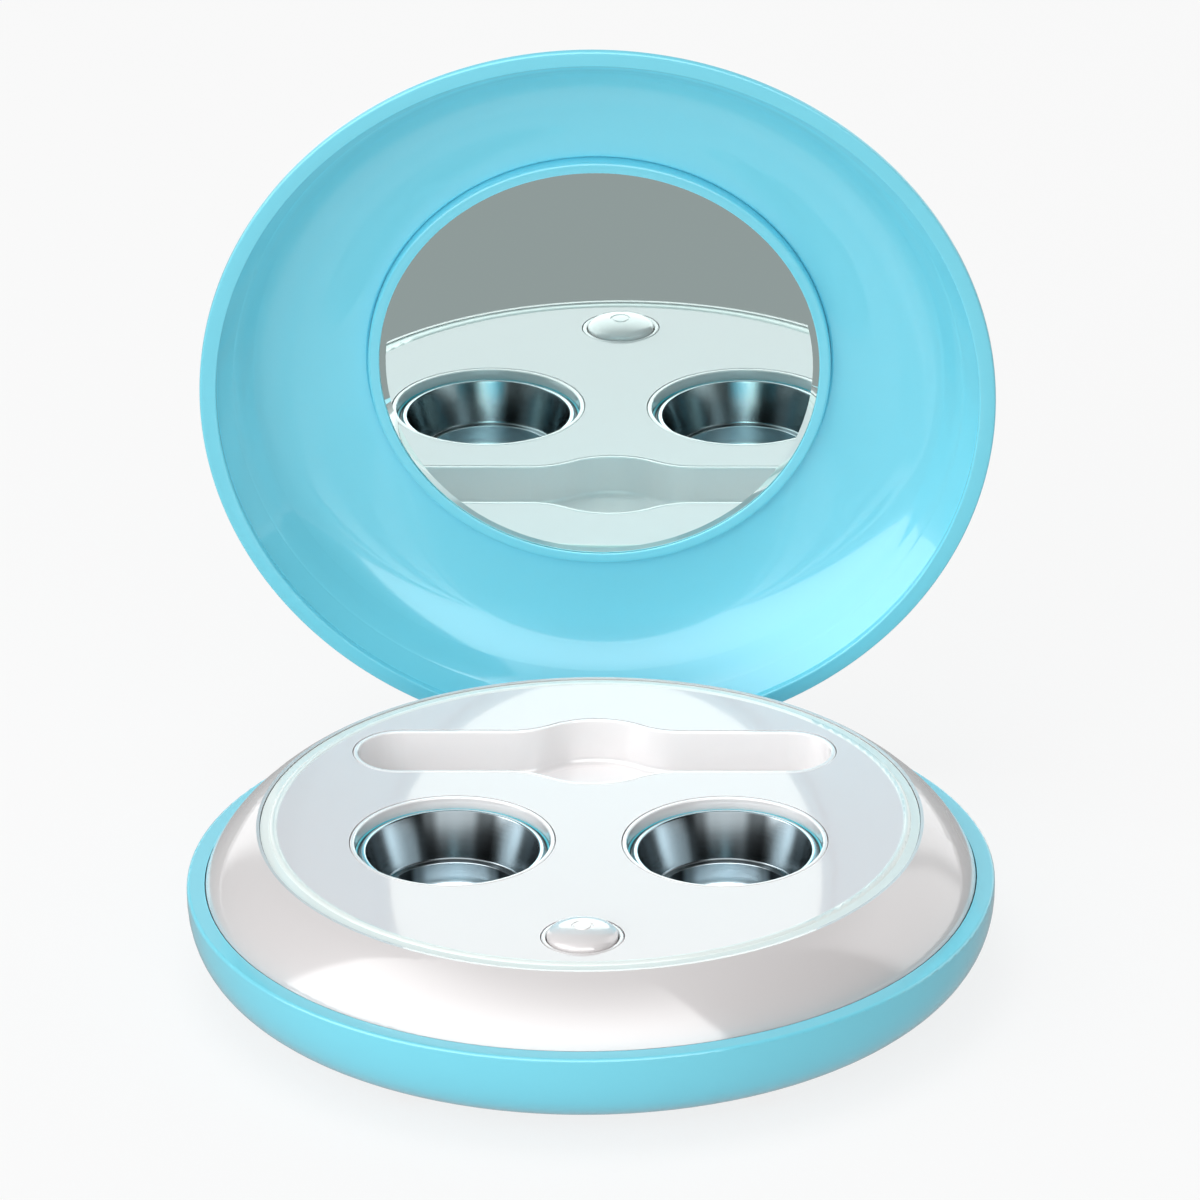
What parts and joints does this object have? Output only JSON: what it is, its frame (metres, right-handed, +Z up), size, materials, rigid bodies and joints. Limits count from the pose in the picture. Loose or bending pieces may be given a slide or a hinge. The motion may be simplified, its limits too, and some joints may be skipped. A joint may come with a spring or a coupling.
{
  "type": "contact lens cleaner device",
  "caption": "Round ultrasonic contact lens cleaner: dish base with two steel lens wells, tweezer tray and push button under a hinged lid with a mirror.",
  "frame": {"origin": "centre of the anti-slip pad's underside, on the table", "axes": "+Z up out of the wells, -Y to the front where the push button is, +X to the user's right where the charging inlet is"},
  "size_m": [0.088, 0.099, 0.0933],
  "materials": {
    "cyan_plastic": "glossy",
    "white_plastic": "pearl gloss",
    "plate_plastic": "clear-coated gloss",
    "cup_steel": "polished",
    "pin_steel": "ground",
    "screw_steel": "zinc plated",
    "mirror_glass": "silvered",
    "foam_pad": "matt foam",
    "seal_rubber": "matt",
    "pad_rubber": "matt",
    "disc_brass": "satin",
    "disc_ceramic": "fired silver",
    "board_laminate": "solder mask",
    "black_plastic": "moulded",
    "ferrite": "matt",
    "copper_wire": "enamelled",
    "cell_wrap": "foil",
    "led_lens": "clear"
  },
  "bodies": {
    "base": {"base_pad": "pad_rubber", "lower_shell": "cyan_plastic", "top_body": "white_plastic", "cover_plate": "plate_plastic", "left_cup": "cup_steel", "right_cup": "cup_steel", "left_cup_seal": "seal_rubber", "right_cup_seal": "seal_rubber", "left_piezo_plate": "disc_brass", "right_piezo_plate": "disc_brass", "left_piezo_ceramic": "disc_ceramic", "right_piezo_ceramic": "disc_ceramic", "tact_switch": "black_plastic", "control_board": "board_laminate", "board_screws": "screw_steel", "status_led": "led_lens", "board_chips": "black_plastic", "coil_cores": "ferrite", "coil_windings": "copper_wire", "charging_socket": "pin_steel", "socket_contacts": "black_plastic", "battery_pad": "foam_pad", "battery": "cell_wrap", "body_screws": "screw_steel", "hinge_bracket": "cyan_plastic", "hinge_screws": "screw_steel", "hinge_pin": "pin_steel"},
    "lid": {"lid_shell": "cyan_plastic", "mirror_ring": "cyan_plastic", "mirror": "mirror_glass", "mirror_pad": "foam_pad"},
    "button": {"power_button": "white_plastic", "switch_plunger": "black_plastic"}
  },
  "joints": [
    {"name": "lid_hinge", "type": "hinge", "parent": "base", "child": "lid", "pos_m": [0, 0.0417, 0.0076], "axis": [-1, 0, 0], "range_deg": [-84, 6]},
    {"name": "button_press", "type": "slide", "parent": "base", "child": "button", "axis": [0, 0, -1], "range_m": [0, 0.0005], "stiffness_N_per_m": 2400, "springref_m": -0.0002}
  ]
}
